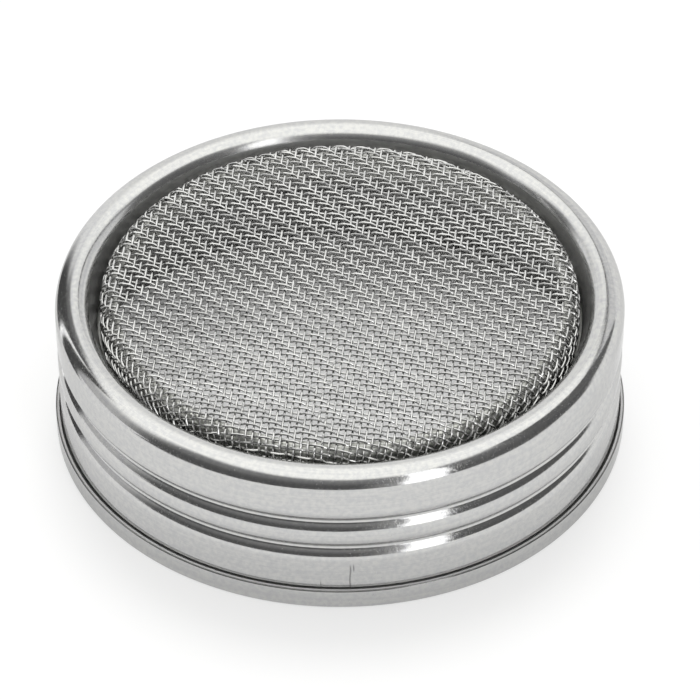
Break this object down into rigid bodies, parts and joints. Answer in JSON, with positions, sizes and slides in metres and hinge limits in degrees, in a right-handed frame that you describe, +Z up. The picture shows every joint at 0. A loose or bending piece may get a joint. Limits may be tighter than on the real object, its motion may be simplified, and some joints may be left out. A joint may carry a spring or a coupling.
{
  "type": "dredger mesh top",
  "caption": "Push-on top of a table dredger: round stainless collar with a rolled bead and grooves, holding a flat woven wire screen that dusts flour or sugar.",
  "frame": {"origin": "on the axis, on the plane of the lower rim that the top stands on", "axes": "+Z up along the axis, through the screen; the wires that run back lean 6 degrees from +Y to +X and those that run across lie 13 degrees from +X, with -Y to the camera of the picture"},
  "size_m": [0.0732, 0.0732, 0.0205],
  "materials": {
    "collar_steel": "bright spun stainless sheet, fine marks round the axis",
    "wire_cloth": "bright drawn stainless wire, twill woven",
    "ring_steel": "pressed stainless sheet, duller than the collar"
  },
  "bodies": {
    "root": {"collar": "collar_steel", "screen": "wire_cloth", "screen_ring": "ring_steel"}
  },
  "joints": []
}
